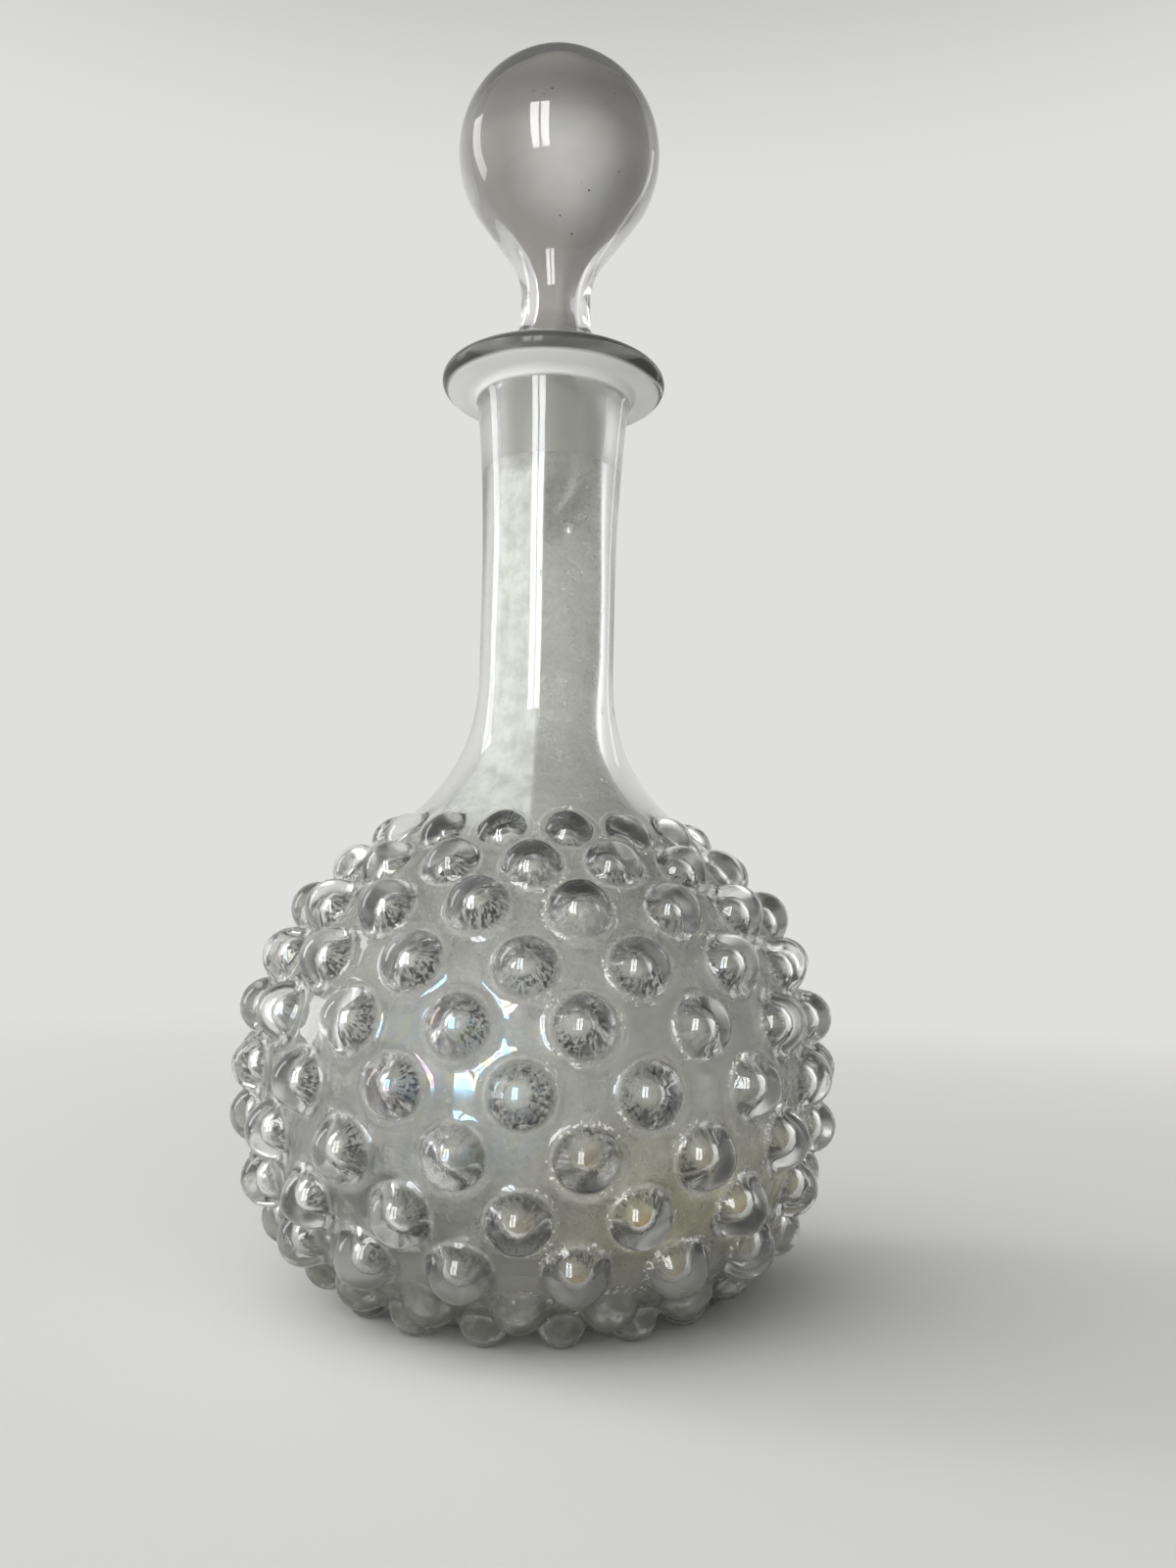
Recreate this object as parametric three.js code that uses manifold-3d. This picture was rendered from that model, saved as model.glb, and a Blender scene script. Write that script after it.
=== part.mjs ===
// Hobnail decanter with a hollow blown ball stopper.
// Millimetres, +Z up. The origin is the centre of the base, on the surface it stands on.
// A knob of the even rows faces -Y.

import * as THREE from 'three';
import { mergeVertices } from 'three/addons/utils/BufferGeometryUtils.js';
import Module from 'manifold-3d';

const wasm = await Module();
wasm.setup();

// Body of the decanter: the glass between the knobs
const bellyRadius = 57.8;
const bellyHeight = 47.7;
const upperReach = 60.4; // height of the upper curve above the belly, had it closed
const upperPower = 1.8; // 2 is an ellipse, less is more of a cone
const footCut = 4.1; // the lower curve is cut off by the base this far short of closing
const lowerPower = 2.4; // more than 2 is squarer
const shoulderHeight = 90.7; // the body's curve ends and the flare to the neck starts
const wallThickness = 4.0;

// Base
const standingRingWidth = 8.5;
const kickDepth = 3.4; // the hollow under the base
const baseThickness = 5.6;

// Neck
const neckRadius = 14.85;
const neckWidening = 2.05; // the neck's radius grows by this much up to the lip
const neckBoreRadius = 11.6;
const flareTop = 131.0; // the flare has become the neck
const flareStraight = 23.0; // how far the neck's line draws the flare down
const flareSpread = 15.6; // how far the shoulder's slope draws it up
const neckWaist = 150.0; // the neck widens from here up

// Lip
const lipRadius = 25.1;
const lipTop = 200.1;
const lipThickness = 4.8;
const lipFillet = 3.0; // between the neck and the lip's underside
const lipDish = 0.6; // the underside rises this much to the rim
const mouthRounding = 1.5;

// Knobs
const knobsPerRow = 16;
const rowsAboveBelly = 4;
const rowsBelowBelly = 4;
const rowPitchUp = 11.1; // along the glass, from row to row above the belly
const lowestRow = 9.3; // along the glass, from the foot to the lowest row
const knobRadius = 6.2;
const knobHeight = 5.9;
const farKnobRadius = 5.7; // the last full row at each end of the pattern
const farKnobHeight = 4.7;
const smallKnobRadius = 4.75; // the extra row of small knobs at each end
const smallKnobHeight = 3.7;
const topRowPitch = 10.2;
const bottomRowPitch = 7.5;
const knobRoot = 1.0; // how deep a knob is sunk into the wall

// Stopper, with its heights measured from its tip
const ballRadius = 23.2;
const ballHeight = 92.1;
const coneAngle = 34.6; // degrees between the cone under the ball and the axis
const waistRadius = 7.9;
const waistCurve = 18.2; // radius of the hollow curve between cone and waist
const waistFoot = 52.0;
const slopeHead = 49.0; // the slope below the waist would meet the waist's line here
const slopeFoot = 44.1; // and the shank's line here
const shankTop = 42.0;
const shankTopRadius = 12.4;
const shankEnd = 15.4; // the taper ends and the round end starts
const shankEndRadius = 11.2;
const roundEndDepth = 13.3;
const nubRadius = 5.0;
const nubHeight = 3.2;
const ballWall = 1.7;
const waistHollow = 3.7;
const shankHollow = 4.8;
const hollowPoint = 8.0; // the hollow runs out in a point this high above the tip
const hollowFull = 20.0; // and has its full width from here up
const ventRadius = 0.8;

// Seat of the stopper in the neck
const seatClearance = 0.3;
const stopperProud = 3.0; // the shank's upper edge stands this far above the lip

// Fineness of the solids
const turns = 32;
const knobSides = 6;
const knobRings = 2;

// Levels and sizes that follow
const lowerReach = bellyHeight + footCut;
const lipBottom = lipTop - lipThickness;
const rimRadius = lipThickness / 2;
const seatTop = lipTop - mouthRounding;
const stopperTip = lipTop + stopperProud - shankTop;
const shankTaper = (shankTopRadius - shankEndRadius) / (shankTop - shankEnd);
const mouthRadius = shankTopRadius - shankTaper * (shankTop - seatTop + stopperTip)
  + seatClearance;

const point = (r, z) => new THREE.Vector2(r, z);

// One half of the body's outline: a superellipse between two levels
class BodyCurve extends THREE.Curve {
  constructor(fromZ, toZ, reach, power) {
    super();
    Object.assign(this, { fromZ, toZ, reach, power });
  }

  getPoint(t, target = new THREE.Vector2()) {
    const z = THREE.MathUtils.lerp(this.fromZ, this.toZ, t);
    const away = Math.abs(z - bellyHeight) / this.reach;
    const r = bellyRadius * (1 - away ** this.power) ** (1 / this.power);
    return target.set(r, z);
  }
}

// The outside of the glass from the standing ring up to the neck, without its knobs
const lowerBody = new BodyCurve(0, bellyHeight, lowerReach, lowerPower);
const upperBody = new BodyCurve(bellyHeight, shoulderHeight, upperReach, upperPower);
const shoulder = upperBody.getPoint(1);
const flare = new THREE.CubicBezierCurve(
  shoulder,
  shoulder.clone().addScaledVector(upperBody.getTangent(1), flareSpread),
  point(neckRadius, flareTop - flareStraight),
  point(neckRadius, flareTop),
);
const glassLine = new THREE.CurvePath();
glassLine.add(lowerBody);
glassLine.add(upperBody);
glassLine.add(flare);
const footRadius = lowerBody.getPoint(0).x;
const bellyAlong = lowerBody.getLength();
const glassLength = glassLine.getLength();

// A place on the glass, at a distance along it from the foot, and its outward direction
const placeAlong = (distance) => {
  const u = distance / glassLength;
  const at = glassLine.getPointAt(u);
  const up = glassLine.getTangentAt(u);
  return { at, out: point(up.y, -up.x) };
};

const evenly = (from, to, steps) => {
  const places = [];
  for (let i = 0; i <= steps; i += 1) {
    places.push(THREE.MathUtils.lerp(from, to, i / steps));
  }
  return places;
};

const arc = (r, z, radius, fromDegrees, toDegrees, steps) => (
  evenly(fromDegrees, toDegrees, steps).map((degrees) => {
    const turn = THREE.MathUtils.degToRad(degrees);
    return point(r + radius * Math.cos(turn), z + radius * Math.sin(turn));
  })
);

// The rows of knobs, from the foot up
const rowsOfKnobs = () => {
  const rows = [];
  const rowPitchDown = (bellyAlong - lowestRow - bottomRowPitch) / rowsBelowBelly;
  for (let row = -rowsBelowBelly; row <= rowsAboveBelly; row += 1) {
    const far = row === -rowsBelowBelly || row === rowsAboveBelly;
    rows.push({
      along: bellyAlong + row * (row > 0 ? rowPitchUp : rowPitchDown),
      radius: far ? farKnobRadius : knobRadius,
      height: far ? farKnobHeight : knobHeight,
    });
  }
  const small = { radius: smallKnobRadius, height: smallKnobHeight };
  rows.unshift({ ...small, along: rows[0].along - bottomRowPitch });
  rows.push({ ...small, along: rows.at(-1).along + topRowPitch });
  return rows;
};

// A closed body turned from an outline, upright
const turned = (outline, sides) => {
  const geometry = new THREE.LatheGeometry(outline, sides);
  geometry.rotateX(Math.PI / 2);
  geometry.deleteAttribute('normal');
  geometry.deleteAttribute('uv');
  return mergeVertices(geometry);
};

const toSolid = (geometry) => new wasm.Manifold(new wasm.Mesh({
  numProp: 3,
  vertProperties: new Float32Array(geometry.attributes.position.array),
  triVerts: new Uint32Array(geometry.index.array),
}));

const toGeometry = (solid) => {
  const mesh = solid.getMesh();
  const geometry = new THREE.BufferGeometry();
  geometry.setAttribute('position', new THREE.BufferAttribute(mesh.vertProperties, 3));
  geometry.setIndex(new THREE.BufferAttribute(mesh.triVerts, 1));
  return geometry;
};

// Vessel outline: under the base, up the outside, over the lip and down the inside
const kickOutline = () => {
  const ringInner = footRadius - standingRingWidth;
  const crown = new THREE.QuadraticBezierCurve(
    point(0, kickDepth),
    point(ringInner / 2, kickDepth),
    point(ringInner, 0),
  );
  return crown.getPoints(3);
};

const outsideOutline = () => {
  const rows = rowsOfKnobs().map((row) => row.along);
  const flareUp = evenly(rows.at(-1), glassLength, 6).slice(1);
  return [0, ...rows, ...flareUp].map((along) => placeAlong(along).at);
};

const neckOutline = () => evenly(0, 1, 3).map((rise) => {
  const neckTop = lipBottom - lipDish - lipFillet;
  const z = THREE.MathUtils.lerp(neckWaist, neckTop, rise);
  return point(neckRadius + neckWidening * rise ** 2, z);
}).slice(0, -1);

const lipOutline = () => {
  const underRadius = neckRadius + neckWidening + lipFillet;
  const underHeight = lipBottom - lipDish;
  return [
    ...arc(underRadius, underHeight - lipFillet, lipFillet, 180, 90, 3),
    ...arc(lipRadius - rimRadius, lipBottom + rimRadius, rimRadius, -90, 90, 5),
  ];
};

const mouthOutline = () => [
  ...arc(mouthRadius + mouthRounding, seatTop, mouthRounding, 90, 180, 3),
  point(neckBoreRadius, seatTop - (mouthRadius - neckBoreRadius) / shankTaper),
];

const insideOutline = () => {
  const wall = evenly(glassLength, wallThickness * 2, 14).map((along) => {
    const { at, out } = placeAlong(along);
    return at.addScaledVector(out, -wallThickness);
  }).filter((place) => place.x > neckBoreRadius + wallThickness / 4);
  const boreEnd = point(neckBoreRadius, wall[0].y + 2 * (wall[0].x - neckBoreRadius));
  const floorHeight = kickDepth + baseThickness;
  const floorEdge = point(wall.at(-1).x / 2, floorHeight);
  return [boreEnd, ...wall, floorEdge, point(0, floorHeight)];
};

// A knob is a round cap that goes on a little way into the wall
const knob = ({ radius, height }) => {
  const capRadius = (radius ** 2 + height ** 2) / (2 * height);
  const capCentre = height - capRadius;
  const rootAngle = Math.acos((-knobRoot - capCentre) / capRadius);
  const cap = evenly(rootAngle, 0, knobRings).map((angle) => (
    point(capRadius * Math.sin(angle), capCentre + capRadius * Math.cos(angle))
  ));
  return turned([point(0, -knobRoot), ...cap], knobSides);
};

const buildVessel = () => {
  const outline = [
    ...kickOutline(),
    ...outsideOutline(),
    ...neckOutline(),
    ...lipOutline(),
    ...mouthOutline(),
    ...insideOutline(),
  ];
  let glass = toSolid(turned(outline, turns));
  rowsOfKnobs().forEach((row, index) => {
    const { at, out } = placeAlong(row.along);
    const lean = Math.atan2(out.x, out.y);
    const shift = index % 2 === 0 ? 0.5 : 0;
    for (let i = 0; i < knobsPerRow; i += 1) {
      const around = ((i + shift) / knobsPerRow) * Math.PI * 2;
      const place = new THREE.Matrix4().makeRotationZ(around);
      place.multiply(new THREE.Matrix4().makeTranslation(0, -at.x, at.y));
      place.multiply(new THREE.Matrix4().makeRotationX(lean));
      glass = glass.add(toSolid(knob(row).applyMatrix4(place)));
    }
  });
  return toGeometry(glass);
};

// Stopper outline: from the crown of the ball down the outside, then up inside the hollow
const ballAndWaist = () => {
  const slope = THREE.MathUtils.degToRad(coneAngle);
  const ball = arc(0, ballHeight, ballRadius, 90, -coneAngle, 11);
  const coneFoot = waistRadius + waistCurve * (1 - Math.cos(slope));
  const coneDrop = (ball.at(-1).x - coneFoot) / Math.tan(slope);
  const waistTop = ball.at(-1).y - coneDrop - waistCurve * Math.sin(slope);
  return [
    ...ball,
    ...arc(waistRadius + waistCurve, waistTop, waistCurve, 180 - coneAngle, 180, 4),
  ];
};

const stopperShank = () => {
  const middle = point((waistRadius + shankTopRadius) / 2, (slopeHead + slopeFoot) / 2);
  const hollowBend = new THREE.QuadraticBezierCurve(
    point(waistRadius, waistFoot),
    point(waistRadius, slopeHead),
    middle,
  );
  const roundEdge = new THREE.QuadraticBezierCurve(
    middle,
    point(shankTopRadius, slopeFoot),
    point(shankTopRadius, shankTop),
  );
  return [...hollowBend.getPoints(3).slice(0, -1), ...roundEdge.getPoints(3)];
};

const stopperEnd = () => {
  const nubCut = Math.asin(nubRadius / shankEndRadius);
  const roundEnd = evenly(Math.PI / 2, nubCut, 4).map((angle) => (
    point(shankEndRadius * Math.sin(angle), shankEnd - roundEndDepth * Math.cos(angle))
  ));
  const ventCut = Math.asin(ventRadius / nubRadius);
  const nub = evenly(Math.PI / 2, ventCut, 3).map((angle) => (
    point(nubRadius * Math.sin(angle), nubHeight * (1 - Math.cos(angle)))
  ));
  return [...roundEnd, ...nub.slice(1)];
};

const stopperHollow = () => {
  const innerRadius = ballRadius - ballWall;
  const ball = arc(0, ballHeight, innerRadius, -coneAngle, 90, 9);
  const slope = THREE.MathUtils.degToRad(coneAngle);
  const down = point(-Math.sin(slope), -Math.cos(slope));
  const stem = new THREE.CubicBezierCurve(
    point(waistHollow, waistFoot + waistHollow),
    point(waistHollow, waistFoot + waistCurve * 0.8),
    ball[0].clone().addScaledVector(down, innerRadius / 2),
    ball[0],
  );
  const pointed = new THREE.QuadraticBezierCurve(
    point(ventRadius, hollowPoint),
    point(shankHollow, hollowPoint + shankHollow),
    point(shankHollow, hollowFull),
  );
  return [
    ...pointed.getPoints(4),
    point(shankHollow, shankTop),
    point(waistHollow, slopeHead),
    ...stem.getPoints(4).slice(0, -1),
    ...ball,
  ];
};

const buildStopper = () => {
  const outline = [
    ...ballAndWaist(),
    ...stopperShank(),
    ...stopperEnd(),
    ...stopperHollow(),
  ];
  return turned(outline.reverse(), turns);
};

const vesselGlass = new THREE.MeshStandardMaterial({
  color: 0xd5dad2,
  roughness: 0.05,
  metalness: 0,
  transparent: true,
  opacity: 0.4,
});
const stopperGlass = new THREE.MeshStandardMaterial({
  color: 0xd2d3ce,
  roughness: 0.12,
  metalness: 0,
  transparent: true,
  opacity: 0.45,
});

const vessel = new THREE.Mesh(buildVessel(), vesselGlass);
vessel.name = 'vessel';

const stopper = new THREE.Mesh(buildStopper(), stopperGlass);
stopper.name = 'stopper';
stopper.position.z = stopperTip;

const decanter = new THREE.Group();
decanter.add(vessel, stopper);

export default decanter;
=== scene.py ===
"""Looks of the hobnail decanter: one vessel of blown glass and its hollow ball stopper.

The frame is in metres, +Z up, with the decanter standing on z = 0. Sizes of the pieces are in
millimetres and are turned into metres where a mesh, a lamp or the camera is made. Places in
the finishes are in metres, as materials read them.
"""

import logging
import math
from collections.abc import Callable
from dataclasses import dataclass, field
from enum import IntEnum

import bpy
import numpy as np
from mathutils import Matrix, Vector


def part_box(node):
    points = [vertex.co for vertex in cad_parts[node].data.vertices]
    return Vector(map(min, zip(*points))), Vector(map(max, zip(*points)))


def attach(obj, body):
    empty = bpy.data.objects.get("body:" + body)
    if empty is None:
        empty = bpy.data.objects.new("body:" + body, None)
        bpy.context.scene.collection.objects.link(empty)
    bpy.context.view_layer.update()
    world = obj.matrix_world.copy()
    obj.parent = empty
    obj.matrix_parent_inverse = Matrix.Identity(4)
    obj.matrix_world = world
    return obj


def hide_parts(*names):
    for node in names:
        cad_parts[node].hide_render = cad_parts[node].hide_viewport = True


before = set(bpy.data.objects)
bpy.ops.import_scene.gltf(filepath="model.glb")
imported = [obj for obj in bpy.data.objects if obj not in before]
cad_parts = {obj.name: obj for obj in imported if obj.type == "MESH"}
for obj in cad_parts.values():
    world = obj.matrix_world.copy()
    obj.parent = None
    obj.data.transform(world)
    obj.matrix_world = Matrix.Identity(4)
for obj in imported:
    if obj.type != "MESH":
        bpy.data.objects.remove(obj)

MM = 0.001
FULL_TURN = 2.0 * math.pi
TINY = 1e-6
LOG = logging.getLogger("decanter")


class Skin(IntEnum):
    """Which skin of the glass a stretch of an outline belongs to, and its finish."""

    OUTSIDE = 0
    INSIDE = 1
    SEAT = 2


@dataclass
class Stretch:
    """A stretch of an outline: points (radius, height), and where they lie on the body."""

    points: np.ndarray
    skin: Skin = Skin.OUTSIDE
    along: np.ndarray | None = None

    def places(self) -> np.ndarray:
        """Gives the distance along the body of each point, or -1 where it has none."""
        return np.full(len(self.points), -1.0) if self.along is None else self.along


def line(start: tuple, end: tuple, steps: int) -> np.ndarray:
    """Gives points evenly along a straight line, both ends included."""
    share = np.linspace(0.0, 1.0, steps + 1)[:, None]
    return np.array(start) * (1.0 - share) + np.array(end) * share


def arc(centre: tuple, radius: float, first: float, last: float, steps: int) -> np.ndarray:
    """Gives points along an arc between two angles in degrees, 0 outward and 90 up."""
    turn = np.radians(np.linspace(first, last, steps + 1))
    return np.column_stack([centre[0] + radius * np.cos(turn), centre[1] + radius * np.sin(turn)])


def bezier(corners: list, steps: int) -> np.ndarray:
    """Gives points along a Bezier curve.

    Args:
        corners: Its corners. It passes through the first and the last.
        steps: How many pieces it has.

    Returns:
        One row of radius and height for each point.
    """
    share = np.linspace(0.0, 1.0, steps + 1)[:, None]
    layer = [np.array(corner, float) * np.ones_like(share) for corner in corners]
    while len(layer) > 1:
        layer = [a * (1.0 - share) + b * share for a, b in zip(layer, layer[1:])]
    return layer[0]


def unevenness(turn: np.ndarray, height: np.ndarray, seed: int, waves: int = 6) -> np.ndarray:
    """Gives the slow unevenness of blown glass, from about -1 to 1.

    Args:
        turn: Angle round the axis of each point.
        height: Height of each point in millimetres.
        seed: Which unevenness.
        waves: How many waves it is made of.

    Returns:
        One value for each point.
    """
    draw = np.random.default_rng(seed)
    total = np.zeros_like(turn)
    for wave in range(waves):
        climb = draw.uniform(-0.09, 0.09)
        total += np.sin((wave + 1) * turn + climb * height + draw.uniform(0.0, FULL_TURN))
    return total / math.sqrt(waves)


def push_out(points: np.ndarray, amount: np.ndarray) -> None:
    """Moves points away from the axis, each by its own amount in millimetres."""
    radial = points[:, :2] / np.maximum(np.hypot(points[:, 0], points[:, 1]), TINY)[:, None]
    points[:, :2] += radial * amount[:, None]


def read_all(items: bpy.types.bpy_prop_collection, name: str, kind: type,
             width: int = 1) -> np.ndarray:
    """Reads one property of all points, corners or faces of a mesh.

    Args:
        items: The points, corners or faces.
        name: The property.
        kind: The type of its numbers.
        width: How many of them each item has.

    Returns:
        The numbers in one row.
    """
    values = np.zeros(len(items) * width, kind)
    items.foreach_get(name, values)
    return values


class Turnery:
    """Makes a closed body of glass from an outline, as on a lathe."""

    @staticmethod
    def deselect() -> None:
        """Leaves edit mode and deselects every object."""
        if bpy.context.object and bpy.context.object.mode != "OBJECT":
            bpy.ops.object.mode_set(mode="OBJECT")
        bpy.ops.object.select_all(action="DESELECT")

    @staticmethod
    def draw(name: str, stretches: list) -> bpy.types.Object:
        """Draws an outline in the X-Z plane, point by point.

        Args:
            name: Name of the new piece.
            stretches: The outline's stretches in order.

        Returns:
            The object that holds the outline.
        """
        Turnery.deselect()
        bpy.ops.mesh.primitive_plane_add(size=MM)
        piece = bpy.context.object
        piece.name = piece.data.name = name
        points = np.concatenate([stretch.points for stretch in stretches]) * MM
        bpy.ops.object.mode_set(mode="EDIT")
        bpy.ops.mesh.select_all(action="SELECT")
        bpy.ops.mesh.merge(type="CENTER")
        bpy.ops.transform.translate(value=(points[0][0], 0.0, points[0][1]))
        for step in np.diff(points, axis=0):
            move = {"value": (step[0], 0.0, step[1])}
            bpy.ops.mesh.extrude_vertices_move(TRANSFORM_OT_translate=move)
        bpy.ops.object.mode_set(mode="OBJECT")
        along = np.concatenate([stretch.places() for stretch in stretches])
        skins = np.concatenate([np.full(len(s.points), float(s.skin)) for s in stretches])
        for label, values in (("along", along), ("skin", skins)):
            attribute = piece.data.attributes.new(label, "FLOAT", "POINT")
            attribute.data.foreach_set("value", values.astype(np.float32))
        return piece

    @staticmethod
    def spin(piece: bpy.types.Object, columns: int) -> None:
        """Turns the outline round the axis into a closed body.

        Args:
            piece: The object that holds the outline.
            columns: How many steps a full turn has.
        """
        doublings = 5
        sector = FULL_TURN / 2 ** doublings
        steps = columns // 2 ** doublings
        bpy.ops.object.mode_set(mode="EDIT")
        bpy.ops.mesh.select_all(action="SELECT")
        bpy.ops.mesh.spin(steps=steps, angle=sector, center=(0, 0, 0), axis=(0, 0, 1))
        for doubling in range(doublings):
            bpy.ops.mesh.select_all(action="SELECT")
            bpy.ops.mesh.duplicate()
            turn = sector * 2 ** doubling
            bpy.ops.transform.rotate(value=turn, orient_axis="Z", center_override=(0, 0, 0))
        bpy.ops.mesh.select_all(action="SELECT")
        bpy.ops.mesh.remove_doubles(threshold=0.002 * MM)
        bpy.ops.mesh.normals_make_consistent(inside=False)
        bpy.ops.object.mode_set(mode="OBJECT")

    @staticmethod
    def read(piece: bpy.types.Object) -> tuple:
        """Reads a turned piece.

        Args:
            piece: The piece.

        Returns:
            Its points in millimetres, their places along the body and their skins.
        """
        points = read_all(piece.data.vertices, "co", float, 3).reshape(-1, 3) / MM
        along, skins = (
            read_all(piece.data.attributes[label].data, "value", np.float32).astype(float)
            for label in ("along", "skin")
        )
        return points, along, np.rint(skins).astype(int)

    @staticmethod
    def finish(piece: bpy.types.Object, points: np.ndarray, skins: np.ndarray) -> None:
        """Writes a piece's points back and gives each face the finish of its skin.

        Args:
            piece: The piece.
            points: Its points in millimetres.
            skins: The skin that each point belongs to.
        """
        mesh = piece.data
        mesh.vertices.foreach_set("co", (points * MM).ravel())
        corners = read_all(mesh.loops, "vertex_index", np.int32)
        starts = read_all(mesh.polygons, "loop_start", np.int32)
        mesh.polygons.foreach_set("material_index", skins[corners[starts]].astype(np.int32))
        for label in ("along", "skin"):
            mesh.attributes.remove(mesh.attributes[label])
        mesh.update()
        Turnery.deselect()
        piece.select_set(True)
        bpy.context.view_layer.objects.active = piece
        bpy.ops.object.shade_smooth()


class Value:
    """An output of a node, with the arithmetic of Math nodes."""

    def __init__(self, shading: "Shading", socket: bpy.types.NodeSocket) -> None:
        """Wraps one output socket of a material that is being built."""
        self.shading = shading
        self.socket = socket

    def __getitem__(self, which: str | int) -> "Value":
        """Gives another output of the same node, by its name or number."""
        return Value(self.shading, self.socket.node.outputs[which])

    def _maths(self, operation: str, *terms: "Value | float") -> "Value":
        """Adds a Math node on the given terms."""
        return self.shading.node("ShaderNodeMath", dict(enumerate(terms)), operation=operation)

    def __add__(self, other: "Value | float") -> "Value":
        """Adds another value."""
        return self._maths("ADD", self, other)

    __radd__ = __add__

    def __sub__(self, other: "Value | float") -> "Value":
        """Takes another value away."""
        return self._maths("SUBTRACT", self, other)

    def __rsub__(self, other: "Value | float") -> "Value":
        """Takes this value away from a number."""
        return self._maths("SUBTRACT", other, self)

    def __mul__(self, other: "Value | float") -> "Value":
        """Multiplies with another value."""
        return self._maths("MULTIPLY", self, other)

    __rmul__ = __mul__

    def __or__(self, other: "Value | float") -> "Value":
        """Gives the greater of two values, as where either of two masks covers."""
        return self._maths("MAXIMUM", self, other)

    __ror__ = __or__

    def fade(self, low: float, high: float, to: tuple = (0.0, 1.0)) -> "Value":
        """Fades smoothly from one end of a range to the other.

        Args:
            low: Where the fade starts.
            high: Where it ends.
            to: What it gives at both ends.

        Returns:
            The faded value.
        """
        ends = {"From Min": low, "From Max": high, "To Min": to[0], "To Max": to[1]}
        inputs, smooth = {"Value": self, **ends}, "SMOOTHSTEP"
        return self.shading.node("ShaderNodeMapRange", inputs, interpolation_type=smooth)

    def within(self, ends: tuple) -> "Value":
        """Gives 1 inside a range: from where it starts to where it is full, or there and back."""
        mask = self.fade(*ends[:2])
        return mask * self.fade(ends[3], ends[2]) if ends[2:] else mask


class Shading:
    """Builds the nodes of one material or world."""

    def __init__(self, tree: bpy.types.NodeTree) -> None:
        """Starts with an empty node tree."""
        tree.nodes.clear()
        self.tree = tree

    def show(self, kind: str, surface: Value) -> None:
        """Ends the nodes with an output of the given kind."""
        self.tree.links.new(surface.socket, self.tree.nodes.new(kind).inputs["Surface"])

    def node(self, kind: str, inputs: dict | None = None, **settings: str) -> Value:
        """Adds a node.

        Args:
            kind: The node's type.
            inputs: Values or links for its input sockets, by name or number.
            settings: Its own settings, set before its sockets.

        Returns:
            The node's first output.
        """
        node = self.tree.nodes.new(kind)
        for name, setting in settings.items():
            setattr(node, name, setting)
        for name, value in (inputs or {}).items():
            if isinstance(value, Value):
                self.tree.links.new(value.socket, node.inputs[name])
            else:
                node.inputs[name].default_value = value
        return Value(self, node.outputs[0])

    def vector(self, operation: str, *terms: Value | tuple) -> Value:
        """Adds a Vector Math node on the given terms."""
        return self.node("ShaderNodeVectorMath", dict(enumerate(terms)), operation=operation)

    def axes(self, place: Value) -> tuple:
        """Splits a place into its three coordinates."""
        split = self.node("ShaderNodeSeparateXYZ", {0: place})
        return split["X"], split["Y"], split["Z"]

    def mix_colour(self, factor: Value, first: Value | tuple, second: Value | tuple) -> Value:
        """Mixes two colours."""
        inputs = {0: factor, 6: first, 7: second}
        return self.node("ShaderNodeMix", inputs, data_type="RGBA")[2]

    def mix_surface(self, factor: Value, first: Value, second: Value) -> Value:
        """Mixes two surfaces."""
        return self.node("ShaderNodeMixShader", {0: factor, 1: first, 2: second})


class Surface(Shading):
    """Builds one material, and knows the place of each point in metres."""

    def __init__(self, name: str) -> None:
        """Makes an empty material, and reads the place and its coordinates.

        Args:
            name: The material's name.
        """
        self.material = bpy.data.materials.new(name)
        self.material.use_nodes = True
        super().__init__(self.material.node_tree)
        self.place = self.node("ShaderNodeTexCoord")["Object"]
        self.east, self.north, self.rise = self.axes(self.place)

    def finish(self, surface: Value) -> bpy.types.Material:
        """Gives the material its surface."""
        self.show("ShaderNodeOutputMaterial", surface)
        return self.material

    def noise(self, scale: float, detail: float = 2.0, rough: float = 0.5,
              place: Value | None = None) -> Value:
        """Gives a noise from 0 to 1, by its waves per metre, its finer waves and their strength."""
        inputs = {"Vector": place or self.place, "Scale": scale, "Detail": detail}
        return self.node("ShaderNodeTexNoise", {**inputs, "Roughness": rough})

    def specks(self, scale: float, size: float) -> Value:
        """Gives scattered round specks, 1 inside them, with a size from 0 to 1 of their cell."""
        near = self.node("ShaderNodeTexVoronoi", {"Vector": self.place, "Scale": scale})
        return near.fade(size, size * 0.6)

    def knob_place(self) -> Value:
        """Gives each point's place beside its knob, right and up in millimetres."""
        return self.node("ShaderNodeUVMap", uv_map="knob_place")

    def knob_distance(self, right: float = 0.0, up: float = 0.0) -> Value:
        """Gives the distance in millimetres from a place beside each knob's centre."""
        return self.vector("DISTANCE", self.knob_place(), (right, up, 0.0))["Value"]


@dataclass(frozen=True)
class Cloud:
    """A noise that is faded between two of its values."""

    scale: float
    low: float
    high: float
    detail: float = 2.0
    rough: float = 0.5
    to: tuple = (0.0, 1.0)

    def on(self, sheet: Surface, place: Value | None = None) -> Value:
        """Gives the faded noise, on a place other than the usual one where it is given."""
        noise = sheet.noise(self.scale, self.detail, self.rough, place)
        return noise.fade(self.low, self.high, self.to)


@dataclass(frozen=True)
class Region:
    """A part of a piece, by its range along each axis in metres, as Value.within takes it."""

    east: tuple = ()
    north: tuple = ()
    rise: tuple = ()

    def on(self, sheet: Surface) -> Value:
        """Gives 1 inside the region, fading to 0 outside."""
        pairs = ((sheet.east, self.east), (sheet.north, self.north), (sheet.rise, self.rise))
        return math.prod(axis.within(ends) for axis, ends in pairs if ends)


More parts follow.
